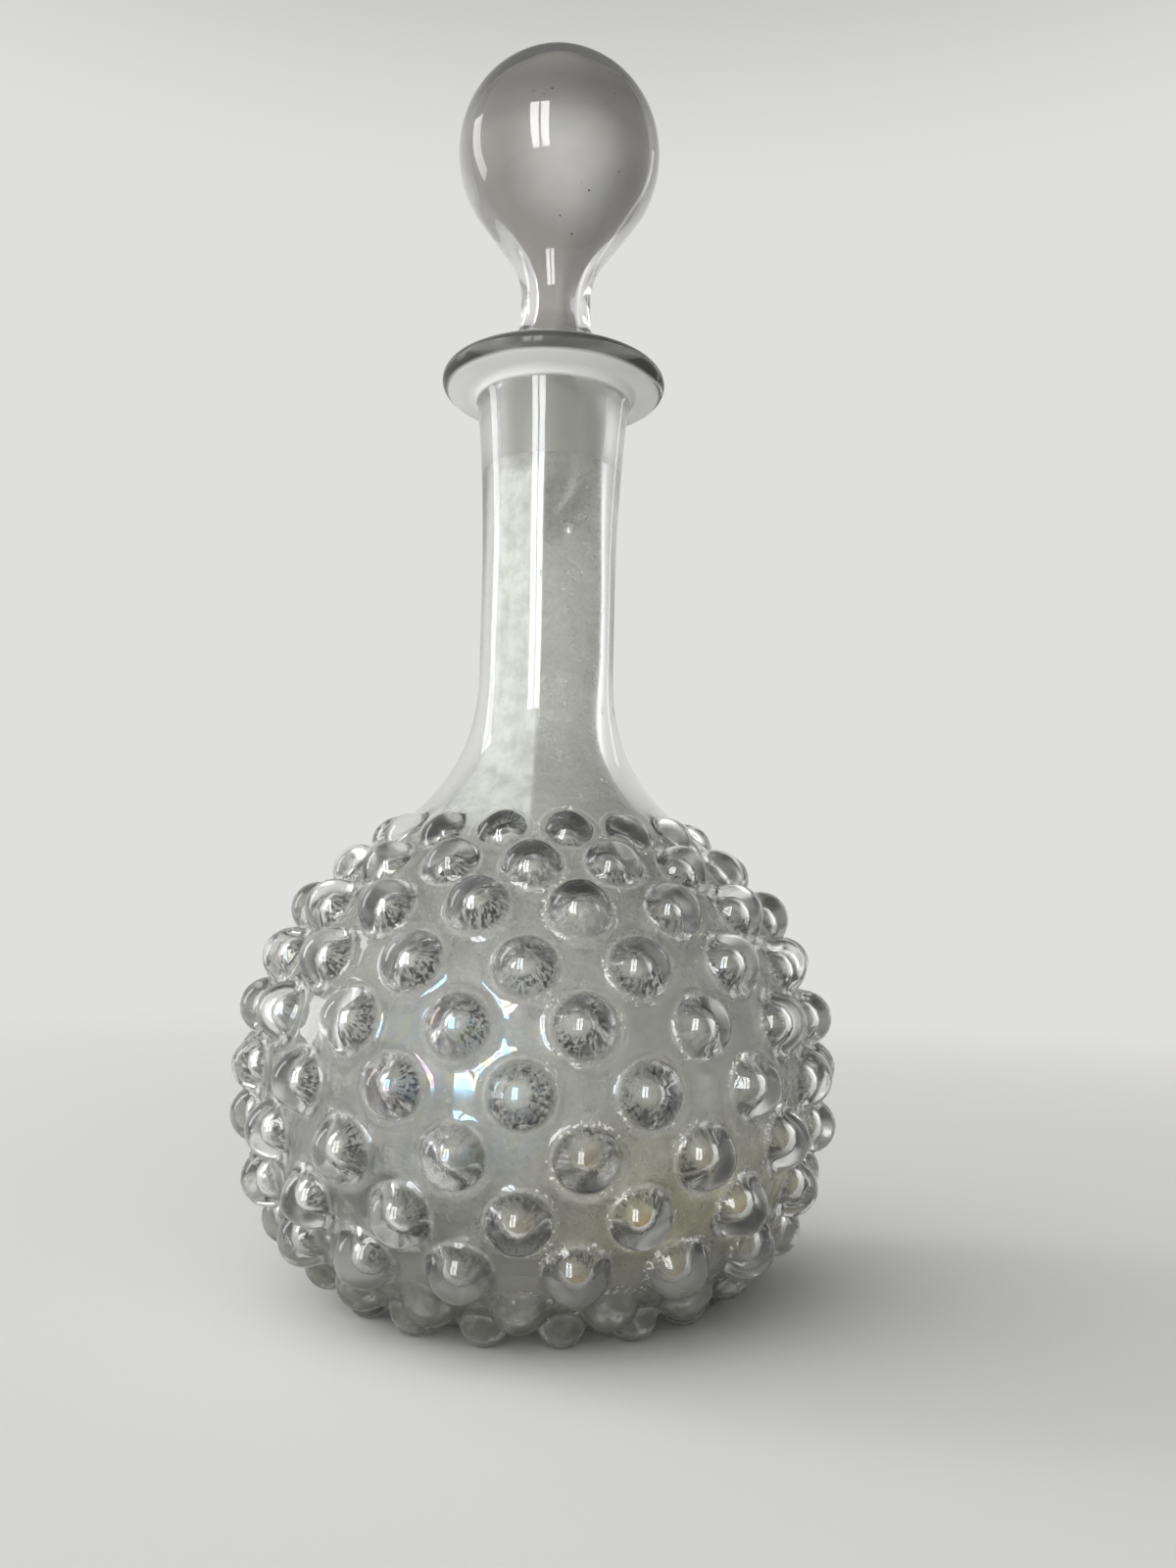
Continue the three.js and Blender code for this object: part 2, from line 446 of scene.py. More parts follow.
@dataclass(frozen=True)
class Mark:
    """A mark on the film: its mask and colour, how much it covers, and if from any side."""

    mask: Value
    paint: Value | tuple
    cover: float = 0.0
    solid: bool = False


def colour(red: float, green: float, blue: float) -> tuple:
    """Gives an opaque colour."""
    return (red, green, blue, 1.0)


@dataclass(frozen=True)
class Glass:
    """Clear blown glass with ripples, a few seeds and a thin film of haze on it."""

    name: str
    tint: tuple = colour(0.965, 0.97, 0.955)
    film: tuple = colour(0.42, 0.42, 0.38)
    roughness: float = 0.03
    film_roughness: float = 0.7
    film_gloss: float = 0.1
    haze: tuple = (0.01, 0.04)
    ripple: float = 0.04
    ripple_scale: float = 120.0
    seeds: float = 0.22
    seed_cells: tuple = (100.0, 0.085)
    seed_patches: Cloud = Cloud(70.0, 0.54, 0.58, detail=1.0)
    bump: float = 0.6
    ior: float = 1.5

    def make(self) -> bpy.types.Material:
        """Builds the material.

        Returns:
            Clear glass, covered by the film and its marks.
        """
        sheet = Surface(self.name)
        haze, solid, paint = self.film_cover(sheet), 0.0, self.film
        for mark in self.marks(sheet):
            paint = sheet.mix_colour(mark.mask, paint, mark.paint)
            if mark.solid:
                solid = mark.mask * mark.cover | solid
            elif mark.cover:
                haze = haze | mark.mask * mark.cover
        film = sheet.node("ShaderNodeBsdfPrincipled", {
            "Base Color": paint,
            "Roughness": self.film_roughness,
            "Specular IOR Level": self.film_gloss,
        })
        edge = sheet.node("ShaderNodeFresnel", {"IOR": self.ior})
        cover = haze * (1.0 - edge) | solid
        return sheet.finish(sheet.mix_surface(cover, self.clear(sheet), film))

    def film_cover(self, sheet: Surface) -> Value:
        """Gives how much of the glass the film covers: a cloudy haze."""
        return Cloud(34.0, 0.3, 0.7, detail=4.0, rough=0.6, to=self.haze).on(sheet)

    def marks(self, sheet: Surface) -> list:
        """Gives the marks on the film, the lowest first."""
        return []

    def clear(self, sheet: Surface) -> Value:
        """Gives the glass itself."""
        return self.polished(sheet, self.rippled(sheet))

    def rippled(self, sheet: Surface) -> Value:
        """Gives the normal of the glass, with its soft ripples and seeds.

        Args:
            sheet: The material that is being built.

        Returns:
            The normal.
        """
        seeds = sheet.specks(*self.seed_cells) * self.seed_patches.on(sheet)
        height = sheet.noise(self.ripple_scale, 3.0) * self.ripple + seeds * self.seeds
        inputs = {"Strength": 1.0, "Distance": self.bump * MM, "Height": height}
        return sheet.node("ShaderNodeBump", inputs)

    def polished(self, sheet: Surface, normal: Value, more: dict | None = None) -> Value:
        """Gives clear glass.

        Args:
            sheet: The material that is being built.
            normal: The normal of the glass.
            more: Values for further sockets.

        Returns:
            The surface.
        """
        return sheet.node("ShaderNodeBsdfPrincipled", {
            "Base Color": self.tint,
            "Roughness": self.roughness,
            "IOR": self.ior,
            "Transmission Weight": 1.0,
            "Normal": normal,
            **(more or {}),
        })


@dataclass(frozen=True)
class KnobGlass(Glass):
    """The outside of the vessel: dust round the knobs, iridescence, a near-white film under the
    lip, painted shade on the rim and painted glints.
    """

    film: tuple = colour(0.62, 0.62, 0.59)
    # A near-white film under the lip.
    under_lip_white: tuple = colour(0.97, 0.97, 0.955)
    # Painted shade: a near-black film over the rim.
    rim_painted_shade: tuple = colour(0.09, 0.09, 0.085)
    grime: tuple = colour(0.17, 0.17, 0.145)
    # Painted glints: pale flecks between the knobs that stand for caustic light.
    painted_glint_colour: tuple = colour(0.95, 0.94, 0.82)
    under_lip: Region = Region(rise=(0.1926, 0.1936, 0.1954, 0.1960))
    rim: Region = Region(rise=(0.1954, 0.1960, 0.1988, 0.1999))
    foot: Region = Region(rise=(0.020, 0.010))
    foot_grain: Cloud = Cloud(300.0, 0.3, 0.6, detail=3.0, to=(0.7, 1.0))
    foot_dust: float = 0.72
    dust: float = 0.35
    dust_ring: tuple = (6.1, 6.3, 6.6, 7.0)
    dust_grain: Cloud = Cloud(900.0, 0.3, 0.6, to=(0.5, 1.0))
    painted_glint_ring: tuple = (5.7, 6.3, 7.0, 7.6)
    painted_glint_side: Region = Region(east=(-0.004, 0.004))
    painted_glints: Cloud = Cloud(1100.0, 0.54, 0.62, rough=0.6, to=(0.0, 0.8))
    painted_glint_patches: Cloud = Cloud(170.0, 0.42, 0.56, detail=1.0)
    film_ior: float = 1.7
    thin_films: tuple = (158.0, 198.0, 250.0)
    film_bands: tuple = (
        Cloud(260.0, 0.38, 0.54, detail=1.0), Cloud(350.0, 0.54, 0.64, detail=1.0),
    )
    faint_patches: Cloud = Cloud(60.0, 0.45, 0.65, to=(0.0, 0.12))
    bright_patches: Cloud = Cloud(60.0, 0.25, 0.5)
    bright: Region = Region(
        east=(-0.03, -0.02, -0.002, 0.006), north=(-0.03, -0.045), rise=(0.03, 0.04, 0.062, 0.072),
    )

    def clear(self, sheet: Surface) -> Value:
        """Gives the glass, iridescent in patches and most of all in front on the left.

        Args:
            sheet: The material that is being built.

        Returns:
            The surface.
        """
        normal, ior = self.rippled(sheet), self.film_ior
        plain = self.polished(sheet, normal)
        iridescent, *layers = (
            self.polished(sheet, normal, {"Thin Film Thickness": film, "Thin Film IOR": ior})
            for film in self.thin_films
        )
        for bands, layer in zip(self.film_bands, layers):
            iridescent = sheet.mix_surface(bands.on(sheet), iridescent, layer)
        bright = self.bright.on(sheet) * self.bright_patches.on(sheet)
        return sheet.mix_surface(self.faint_patches.on(sheet) + bright, plain, iridescent)

    def foot_mask(self, sheet: Surface) -> Value:
        """Gives the dull lowest rows of knobs."""
        return self.foot.on(sheet) * self.foot_grain.on(sheet)

    def film_cover(self, sheet: Surface) -> Value:
        """Adds the dust round each knob and on the foot to the haze."""
        ring = sheet.knob_distance().within(self.dust_ring) * self.dust_grain.on(sheet) * self.dust
        return super().film_cover(sheet) + (ring | self.foot_mask(sheet) * self.foot_dust)

    def marks(self, sheet: Surface) -> list:
        """Gives the grime of the foot, painted shade on the rim, a near-white film under the lip
        and painted glints.

        Args:
            sheet: The material that is being built.

        Returns:
            The marks, the lowest first.
        """
        # painted glints of caustic light between the knobs
        between = sheet.knob_distance().within(self.painted_glint_ring) * self.painted_glint_side.on(sheet)
        painted_glints = between * self.painted_glints.on(sheet) * self.painted_glint_patches.on(sheet)
        return [
            Mark(self.foot_mask(sheet), self.grime),
            # painted shade on the rim
            Mark(self.rim.on(sheet), self.rim_painted_shade, cover=0.7),
            Mark(self.under_lip.on(sheet), self.under_lip_white, cover=0.97),
            Mark(painted_glints, self.painted_glint_colour, cover=1.0),
        ]


@dataclass(frozen=True)
class InnerGlass(Glass):
    """The inside of the vessel: haze, dark residue with painted shade behind the knobs, lime with
    painted light in the neck, painted shade on the right.
    """

    # Residue and painted shade: dark specks set at each hollow's lower right, away from the light
    # from the upper left.
    residue_and_shade: tuple = colour(0.03, 0.03, 0.028)
    # Lime, and partly painted light: a paler film on the left of the neck where light falls from
    # the left.
    lime_and_light: tuple = colour(0.78, 0.805, 0.76)
    tan: tuple = colour(0.38, 0.25, 0.09)
    grime: tuple = colour(0.2, 0.2, 0.17)
    # Painted shade on the right side: the film there is darker higher up and warmer low down.
    warm: tuple = colour(0.52, 0.505, 0.33)
    right_painted_shade: tuple = colour(0.27, 0.27, 0.236)
    right: Region = Region(east=(0.002, 0.022))
    above_warm: Region = Region(rise=(0.026, 0.044))
    floor: Region = Region(rise=(0.024, 0.012))
    haze_grain: Cloud = Cloud(1500.0, 0.35, 0.6, rough=0.6, to=(0.9, 1.06))
    haze_mottle: Cloud = Cloud(230.0, 0.35, 0.65, detail=4.0, rough=0.65, to=(0.82, 1.12))
    washed: Region = Region(east=(-0.008, -0.022), north=(0.0, -0.01), rise=(0.064, 0.05))
    washed_blotches: Cloud = Cloud(150.0, 0.36, 0.5, detail=3.0, rough=0.6, to=(0.0, 0.9))
    stained: Region = Region(east=(-0.006, 0.006), north=(0.0, -0.01), rise=(0.046, 0.03))
    stain_share: float = 0.85
    stain_place: tuple = (0.3, -0.4)
    stain_reach: tuple = (2.7, 0.9)
    lime_and_light_region: Region = Region(east=(-0.0003, -0.0018), north=(0.004, -0.001), rise=(0.088, 0.097))
    lime_and_light_top: tuple = (0.187, 0.180)
    lime_and_light_raggedness: float = 0.012
    lime_and_light_ragged_waves: float = 110.0
    lime_and_light_draw: tuple = (1.0, 1.0, 0.12)
    lime_and_light_streaks: Cloud = Cloud(420.0, 0.2, 0.6, detail=3.0, to=(0.8, 1.0))
    lime_and_light_mottle: Cloud = Cloud(260.0, 0.35, 0.6, detail=4.0, rough=0.65, to=(0.85, 1.02))
    residue_and_shade_reach: tuple = (4.2, 3.0)
    bare_place: tuple = (-0.6, 0.6)
    bare_reach: tuple = (1.6, 2.5)
    residue_and_shade_noise: tuple = (1500.0, 3.0, 0.75)
    residue_and_shade_grain: tuple = (0.47, 0.54, (0.12, 1.0))
    streak_noise: tuple = (6.0, 3.0, 0.65)
    streak_waves: float = 90.0
    residue_and_shade_patches: Cloud = Cloud(75.0, 0.3, 0.55, detail=1.0, to=(0.45, 1.0))

    def film_cover(self, sheet: Surface) -> Value:
        """Makes the haze grainy and mottled, and washes it off in blotches low on the left."""
        haze = super().film_cover(sheet) * self.haze_grain.on(sheet) * self.haze_mottle.on(sheet)
        return haze * (1.0 - self.washed_blotches.on(sheet) * self.washed.on(sheet))

    def streaks(self, sheet: Surface) -> Value:
        """Gives a noise drawn out away from the middle of each knob."""
        way, fine = sheet.vector("NORMALIZE", sheet.knob_place()), (self.streak_waves,) * 3
        return sheet.noise(*self.streak_noise, sheet.vector("MULTIPLY_ADD", sheet.place, fine, way))

    def residue_and_shade_mask(self, sheet: Surface) -> Value:
        """Gives the crescent of dark specks at the lower right of each hollow: residue, and painted
        shade on the side away from the light from the upper left.

        Args:
            sheet: The material that is being built.

        Returns:
            The mask.
        """
        inside = sheet.knob_distance().fade(*self.residue_and_shade_reach)
        outside = sheet.knob_distance(*self.bare_place).fade(*self.bare_reach)
        grain = sheet.noise(*self.residue_and_shade_noise) * 0.5 + self.streaks(sheet) * 0.5
        specks = grain.fade(*self.residue_and_shade_grain)
        return inside * outside * specks * self.residue_and_shade_patches.on(sheet)

    def lime_and_light_mask(self, sheet: Surface) -> Value:
        """Gives the pale lime on the left of the neck and the shoulder, partly painted light where
        light falls from the left.

        Args:
            sheet: The material that is being built.

        Returns:
            The mask.
        """
        drawn = sheet.vector("MULTIPLY", sheet.place, self.lime_and_light_draw)
        ragged = sheet.rise + sheet.noise(self.lime_and_light_ragged_waves) * self.lime_and_light_raggedness
        tones = self.lime_and_light_streaks.on(sheet, drawn) * self.lime_and_light_mottle.on(sheet)
        return self.lime_and_light_region.on(sheet) * ragged.fade(*self.lime_and_light_top) * tones

    def marks(self, sheet: Surface) -> list:
        """Gives painted shade on the right, warmer low down, grime at the floor, lime with painted
        light, amber stains, and residue with painted shade.

        Args:
            sheet: The material that is being built.

        Returns:
            The marks, the lowest first.
        """
        sided = sheet.mix_colour(self.above_warm.on(sheet), self.warm, self.right_painted_shade)
        behind = sheet.knob_distance(*self.stain_place).fade(*self.stain_reach, (0.12, 1.0))
        return [
            # painted shade on the right side
            Mark(self.right.on(sheet), sided),
            Mark(self.floor.on(sheet), self.grime, cover=0.85),
            # lime with painted light on the left of the neck
            Mark(self.lime_and_light_mask(sheet), self.lime_and_light, cover=0.9),
            Mark(self.stained.on(sheet) * behind * self.stain_share, self.tan, cover=0.9),
            # residue with painted shade at each hollow's lower right
            Mark(self.residue_and_shade_mask(sheet), self.residue_and_shade, cover=0.95, solid=True),
        ]


@dataclass(frozen=True)
class MilkyGlass(Glass):
    """The inside of the stopper: a milky film with painted shade high and a painted glow low in
    front, and a few specks.
    """

    # Painted glow: a pale film colour round a spot low in front of the ball.
    painted_glow: tuple = colour(0.8, 0.79, 0.76)
    speck: tuple = colour(0.05, 0.045, 0.04)
    # Painted shade: a darker film colour in a band high in the ball.
    shade: tuple = colour(0.17, 0.157, 0.145)
    painted_shade_band: Region = Region(rise=(0.2475, 0.2535, 0.258, 0.266))
    painted_shade_share: float = 0.75
    painted_glow_centre: tuple = (0.0035, -0.0175, 0.2405)
    painted_glow_reach: tuple = (0.016, 0.001)
    speck_cells: tuple = (420.0, 0.14)
    speck_patches: Cloud = Cloud(130.0, 0.56, 0.64, detail=1.0)

    def marks(self, sheet: Surface) -> list:
        """Gives the painted shade high in the ball, the painted glow low in front, and the specks.

        Args:
            sheet: The material that is being built.

        Returns:
            The marks, the lowest first.
        """
        away = sheet.vector("DISTANCE", sheet.place, self.painted_glow_centre)["Value"]
        specks = sheet.specks(*self.speck_cells) * self.speck_patches.on(sheet)
        return [
            # painted shade high in the ball
            Mark(self.painted_shade_band.on(sheet) * self.painted_shade_share, self.shade),
            # painted glow low in front
            Mark(away.fade(*self.painted_glow_reach), self.painted_glow),
            Mark(specks, self.speck, cover=1.0, solid=True),
        ]


class Mould:
    """The profile of a knob or of the hollow behind it, from its axis out to the plain wall."""

    def __init__(self, stretches: list) -> None:
        """Joins stretches of profile.

        Args:
            stretches: Points (distance from the axis, height), and how closely the mesh
                follows them.
        """
        points = np.concatenate([stretches[0][0][:1]] + [stretch[1:] for stretch, _ in stretches])
        close = np.concatenate([np.full(len(stretch) - 1, weight) for stretch, weight in stretches])
        length = np.cumsum(np.linalg.norm(np.diff(points, axis=0), axis=1) * close)
        self.share = np.concatenate([[0.0], length / length[-1]])
        self.points = points
        self.reach = points[-1, 0]

    def shape(self, away: np.ndarray) -> tuple:
        """Gives distance from the axis and height for distances on the plain wall."""
        share = away / self.reach
        return tuple(np.interp(share, self.share, self.points[:, i]) for i in (0, 1))


@dataclass(eq=False)
class KnobShape:
    """The shape of a knob: round cap, fillet and soft groove, and the hollow behind it."""

    radius: float
    height: float
    fillet: float
    hollow_radius: float
    hollow_depth: float
    skirt: float = 1.0

    def __post_init__(self) -> None:
        """Works out the profiles of the knob and of the hollow behind it."""
        cap_radius = (self.radius ** 2 + self.height ** 2) / (2.0 * self.height)
        cap_centre = self.height - cap_radius
        rise = self.fillet - cap_centre
        foot = math.sqrt((cap_radius + self.fillet) ** 2 - rise ** 2)
        lean = math.degrees(math.atan2(foot, rise))
        cap = arc((0.0, cap_centre), cap_radius, 90.0, 90.0 - lean, 24)
        fillet = arc((foot, self.fillet), self.fillet, 270.0 - lean, 270.0, 6)
        skirt, edge = self.skirt, (foot + self.skirt, 0.0)
        dip, rim = (foot + skirt * 0.2, -0.3), (foot + skirt * 0.6, 0.0)
        groove = bezier([fillet[-1], dip, rim, edge], 4)
        self.outside = Mould([(cap, 1.0), (fillet, 1.0), (groove, 0.6)])
        deep, wide = self.hollow_depth, self.hollow_radius
        corners = [(0.0, 1.0), (0.8, 1.0), (1.0, 0.85), (1.05, 0.2), (2.1, 0.0)]
        cave = bezier([(wide * out, deep * up) for out, up in corners], 30)
        self.hollow = Mould([(cave, 1.0), (line(cave[-1], edge, 2), 0.4)])

    def mould(self, skin: Skin) -> Mould:
        """Gives the profile of the knob, or of the hollow behind it."""
        return self.outside if skin is Skin.OUTSIDE else self.hollow


@dataclass
class Knob:
    """One knob on the body, slightly out of place. Its axis points straight out of the row."""

    shape: KnobShape
    turn: float
    along: float
    size: float
    hollow_shift: tuple
    body_radius: float
    axis: np.ndarray

    def measure(self, skin: Skin, turn: np.ndarray, along: np.ndarray) -> tuple:
        """Measures points from the knob, or from the hollow behind it.

        Args:
            skin: Which of the two.
            turn: Angle round the axis of each point.
            along: Each point's place along the body.

        Returns:
            Turn and place of the centre, each point's turn and place from there, and its
            distance as if the knob had its full size.
        """
        shift = self.hollow_shift if skin is Skin.INSIDE else (0.0, 0.0)
        centre, height = self.turn + shift[0] / self.body_radius, self.along + shift[1]
        side = (turn - centre + math.pi) % FULL_TURN - math.pi
        up = along - height
        return centre, height, side, up, np.hypot(side * self.body_radius, up) / self.size


@dataclass
class Vessel:
    """The vessel: round body, knobs, neck and lip in one piece of glass. Millimetres."""

    lip_top: float
    shank_radius: Callable[[float], float]
    belly_radius: float = 57.8
    belly_height: float = 47.7
    upper_reach: float = 60.4
    upper_power: float = 1.8
    foot_cut: float = 4.1
    lower_power: float = 2.4
    shoulder_height: float = 90.7
    wall: float = 4.0
    ring_width: float = 8.5
    kick_depth: float = 3.4
    floor_height: float = 9.0
    floor_along: float = 13.0
    neck_radius: float = 14.85
    neck_widening: float = 2.05
    bore_radius: float = 11.6
    flare_top: float = 131.0
    flare_straight: float = 23.0
    flare_spread: float = 15.6
    neck_waist: float = 150.0
    lip_radius: float = 25.1
    lip_thickness: float = 4.8
    lip_fillet: float = 3.0
    lip_dish: float = 0.6
    mouth_rounding: float = 1.5
    seat_clearance: float = 0.3
    seat_length: float = 20.0
    full_knob: KnobShape = KnobShape(6.15, 5.85, 0.9, 2.8, 5.8)
    far_knob: KnobShape = KnobShape(5.8, 4.4, 0.8, 2.7, 4.0)
    near_knob: KnobShape = KnobShape(5.8, 4.4, 0.8, 2.7, 1.8)
    small_knob: KnobShape = KnobShape(5.1, 3.0, 0.6, 2.2, 2.2, skirt=0.7)
    foot_knob: KnobShape = KnobShape(4.8, 4.1, 0.5, 2.0, 0.8, skirt=0.6)
    knobs_per_row: int = 16
    row_pitch: float = 11.1
    top_pitch: float = 10.2
    lowest_row: float = 9.3
    second_row: float = 16.8
    columns: int = 320
    knob_step: float = 1.08
    inner_step: float = 1.15
    knob_drift: float = 0.25
    knob_oddness: float = 0.035
    hollow_drift: float = 0.35
    inner_unevenness: float = 0.22
    outer_unevenness: float = 0.05
    even_foot: float = 12.0
    even_below_seat: float = 4.0
    even_fade: float = 12.0
    seed: int = 11
    table: tuple = field(init=False, repr=False)

    def __post_init__(self) -> None:
        """Measures the outside of the glass from the foot to the neck."""
        lower = self.body_curve(0.0, self.belly_height)
        upper = self.body_curve(self.belly_height, self.shoulder_height)
        slope = (upper[-1] - upper[-2]) / np.linalg.norm(upper[-1] - upper[-2])
        flare = bezier([
            upper[-1],
            upper[-1] + slope * self.flare_spread,
            (self.neck_radius, self.flare_top - self.flare_straight),
            (self.neck_radius, self.flare_top),
        ], 400)
        points = np.concatenate([lower, upper[1:], flare[1:]])
        steps = np.linalg.norm(np.diff(points, axis=0), axis=1)
        along = np.concatenate([[0.0], np.cumsum(steps)])
        self.belly_along = along[len(lower) - 1]
        self.length = along[-1]
        self.table = (along, points)

    def body_curve(self, low: float, high: float) -> np.ndarray:
        """Gives a stretch of the body's outline, close set.

        Args:
            low: Height where it starts.
            high: Height where it ends.

        Returns:
            One row of radius and height for each point.
        """
        height = np.linspace(low, high, 600)
        upper = high > self.belly_height
        reach = self.upper_reach if upper else self.belly_height + self.foot_cut
        power = self.upper_power if upper else self.lower_power
        away = np.abs(height - self.belly_height) / reach
        return np.column_stack([self.belly_radius * (1.0 - away ** power) ** (1.0 / power), height])

    def surface(self, along: np.ndarray) -> np.ndarray:
        """Gives radius and height of the glass at distances along it from the foot."""
        at, points = self.table
        return np.column_stack([np.interp(along, at, points[:, i]) for i in (0, 1)])

    def outward(self, along: np.ndarray) -> np.ndarray:
        """Gives the outward direction of the glass at distances along it."""
        up = self.surface(np.minimum(along + 0.4, self.length)) - self.surface(along - 0.4)
        return np.column_stack([up[:, 1], -up[:, 0]]) / np.linalg.norm(up, axis=1)[:, None]

    def inner_surface(self, along: np.ndarray) -> np.ndarray:
        """Gives the inside of the wall, which runs smoothly into the bore.

        Args:
            along: Distances along the body from the foot.

        Returns:
            One row of radius and height for each point.
        """
        points, soft = self.surface(along) - self.wall * self.outward(along), 0.5
        wider = soft * np.logaddexp(0.0, (points[:, 0] - self.bore_radius) / soft)
        return np.column_stack([self.bore_radius + wider, points[:, 1]])

    def rows(self) -> list:
        """Gives the rows of knobs from the foot up.

        Returns:
            Place along the body and shape of each row.
        """
        below, above = (self.belly_along - self.second_row) / 4, self.row_pitch
        middle = [self.belly_along + step * (above if step > 0 else below) for step in range(-3, 5)]
        places = [self.lowest_row, self.second_row, *middle, middle[-1] + self.top_pitch]
        shapes = [self.foot_knob, self.near_knob] + [self.full_knob] * 7
        return list(zip(places, shapes + [self.far_knob, self.small_knob]))

    def outline(self) -> list:
        """Gives the outline: under the base, up the outside, over the lip, down the inside.

        Returns:
            Its stretches in order.
        """
        foot = self.surface(np.array([0.0]))[0]
        ring, depth = foot[0] - self.ring_width, self.kick_depth
        kick = bezier([(0, depth), (ring * 0.55, depth), (ring - 1.5, 0.5)], 6)
        inner_edge = bezier([(ring - 1.0, 0.28), (ring - 0.2, 0.0), (ring + 1.0, 0.0)], 3)
        outer_edge = np.array([(foot[0] - 1.2, 0.0)])
        top_row, top_knob = self.rows()[-1]
        first, last = 0.6, top_row + top_knob.outside.reach + 1.0
        body = np.linspace(first, last, round((last - first) / self.knob_step) + 1)
        flare = np.linspace(last, self.length, 11)[1:]
        outside = [
            Stretch(np.concatenate([kick, inner_edge, outer_edge])),
            Stretch(self.surface(body), Skin.OUTSIDE, body),
            Stretch(self.surface(flare), Skin.OUTSIDE, flare),
            Stretch(np.concatenate([self.neck_outline(), self.lip_outline()])),
        ]
        return outside + self.inside_outline()

    def neck_outline(self) -> np.ndarray:
        """Gives the neck up to the fillet under the lip.

        Returns:
            One row of radius and height for each point.
        """
        top = self.lip_top - self.lip_thickness - self.lip_dish - self.lip_fillet
        low = line((self.neck_radius, self.flare_top), (self.neck_radius, self.neck_waist), 3)[1:]
        rise = np.linspace(0.0, 1.0, 9)[1:-1]
        height = self.neck_waist + (top - self.neck_waist) * rise
        widening = np.column_stack([self.neck_radius + self.neck_widening * rise ** 2, height])
        return np.concatenate([low, widening])

    def lip_outline(self) -> np.ndarray:
        """Gives the lip: fillet, underside, round rim and top.

        Returns:
            One row of radius and height for each point.
        """
        under, rim = self.lip_top - self.lip_thickness - self.lip_dish, self.lip_thickness / 2.0
        reach, edge = self.neck_radius + self.neck_widening + self.lip_fillet, self.lip_radius - rim
        fillet = arc((reach, under - self.lip_fillet), self.lip_fillet, 180, 90, 7)
        underside = bezier([fillet[-1], (reach + 1.4, under), (edge - 0.6, under + 0.5)], 2)
        rounded = arc((edge, self.lip_top - rim), rim, -90, 90, 10)
        mouth, soft = self.mouth_radius() + self.mouth_rounding, self.mouth_rounding
        top = line(rounded[-1], (mouth, self.lip_top), 4)[1:-1]
        rounding = arc((mouth, self.lip_top - soft), soft, 90, 180, 6)
        return np.concatenate([fillet, underside[1:-1], rounded, top, rounding[:-1]])

    def mouth_radius(self) -> float:
        """Gives the radius of the ground seat at its upper end."""
        return self.shank_radius(self.lip_top - self.mouth_rounding) + self.seat_clearance

    def inside_outline(self) -> list:
        """Gives the ground seat, the bore and the inside of the body down to the floor.

        Returns:
            Its stretches in order.
        """
        top, gap = self.lip_top - self.mouth_rounding, self.seat_clearance
        low = top - self.seat_length
        seat = line((self.mouth_radius(), top), (self.shank_radius(low) + gap, low), 6)
        bore = self.bore_radius + 0.05
        flare = np.linspace(self.length, self.rows()[-1][0] + 4.0, 14)
        steps = round((flare[-1] - self.floor_along) / self.inner_step)
        body = np.linspace(flare[-1], self.floor_along, steps + 1)[1:]
        before, end = self.inner_surface(body)[-2:]
        on = (end - before) / np.linalg.norm(end - before)
        level = self.floor_height
        floor = bezier([end, end + 9.0 * on, (end[0] * 0.45, level), (0.0, level)], 10)
        return [
            Stretch(seat, Skin.SEAT),
            Stretch(line((bore, low - 1.0), (bore, self.flare_top + 3), 5), Skin.INSIDE),
            Stretch(self.inner_surface(flare), Skin.INSIDE, flare),
            Stretch(self.inner_surface(body), Skin.INSIDE, body),
            Stretch(floor[1:], Skin.INSIDE),
        ]

    def build(self) -> bpy.types.Object:
        """Makes the mesh of the vessel.

        Returns:
            The vessel with its knobs raised and its glass slightly uneven.
        """
        piece = Turnery.draw("hobnail_vessel", self.outline())
        Turnery.spin(piece, self.columns)
        points, along, skins = Turnery.read(piece)
        self.mark_knobs(piece, points, along, skins)
        points = self.raise_knobs(points, along, skins)
        self.loosen(points, skins)
        Turnery.finish(piece, points, skins)
        return piece

    def knobs(self) -> list:
        """Gives every knob, each a little out of place and most a little smaller.

        Returns:
            The knobs, row by row.
        """
        draw = np.random.default_rng(self.seed)
        pitch = FULL_TURN / self.knobs_per_row
        made = []
        for row, (place, shape) in enumerate(self.rows()):
            start = -math.pi / 2.0 + (pitch / 2.0 if row % 2 == 0 else 0.0)
            radius = self.surface(np.array([place]))[0, 0]
            out, up = self.outward(np.array([place]))[0]
            odds = draw.normal(0.0, 1.0, (self.knobs_per_row, 5)).clip(-2.0, 2.0)
            for number, odd in enumerate(odds):
                turn = start + number * pitch + odd[0] * self.knob_drift / self.belly_radius
                along = place + odd[1] * self.knob_drift
                size = 1.0 - self.knob_oddness * abs(odd[2])
                axis = np.array([out * math.cos(turn), out * math.sin(turn), up])
                shift = tuple(odd[3:] * self.hollow_drift)
                made.append(Knob(shape, turn, along, size, shift, radius, axis))
        return made

